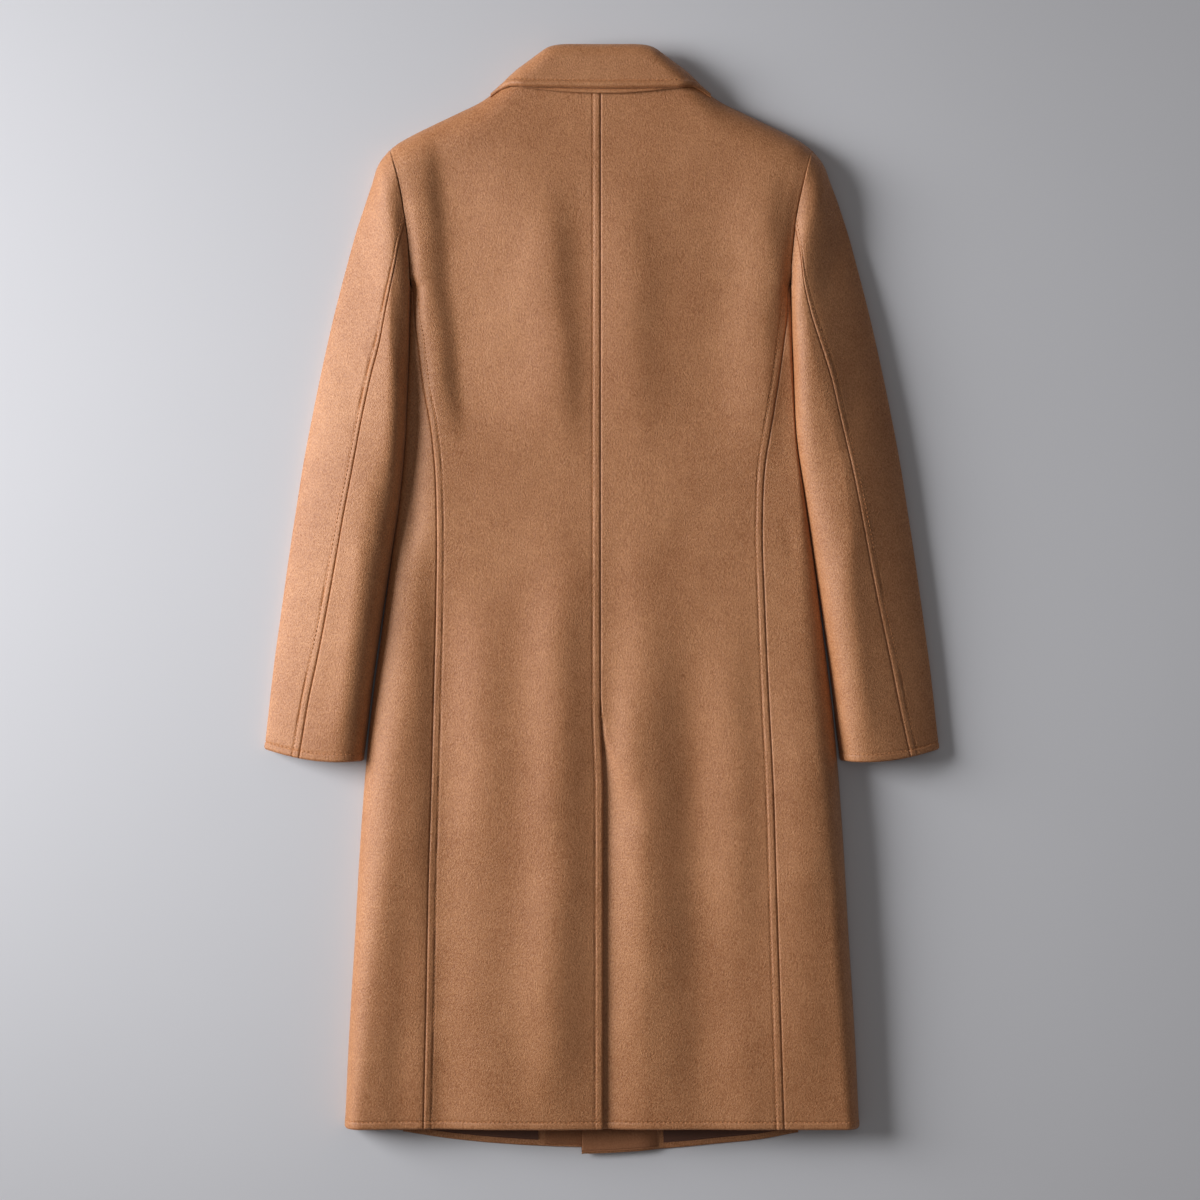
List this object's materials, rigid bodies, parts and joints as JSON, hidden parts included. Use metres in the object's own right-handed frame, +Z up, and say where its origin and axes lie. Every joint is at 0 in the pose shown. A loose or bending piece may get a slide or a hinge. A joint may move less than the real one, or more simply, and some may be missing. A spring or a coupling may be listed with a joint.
{
  "type": "overcoat laid flat, back up",
  "caption": "Long tailored wool overcoat with a turned-down collar, shaped back seams, two-piece sleeves and a back vent, laid flat on its face.",
  "frame": {"origin": "centre of the coat's outline on the surface that it lies on", "axes": "+X to the picture's right, +Y towards the collar, +Z up from the surface, out of the coat's back"},
  "size_m": [0.7029, 1.1566, 0.0374],
  "materials": {
    "wool": "soft napped wool overcoating, matt",
    "facing": "the same wool, seen in shade inside the hem",
    "lining": "smooth dark brown lining"
  },
  "bodies": {
    "root": {"back_left": "wool", "back_right": "wool", "side_left": "wool", "side_right": "wool", "front_left": "wool", "front_right": "wool", "facing_left": "facing", "facing_right": "facing", "lining_left": "lining", "lining_right": "lining", "lapel_left": "wool", "lapel_right": "wool", "top_sleeve_left": "wool", "top_sleeve_right": "wool", "under_sleeve_left": "wool", "under_sleeve_right": "wool", "top_collar": "wool", "under_collar": "wool", "collar_stand": "wool"}
  },
  "joints": []
}
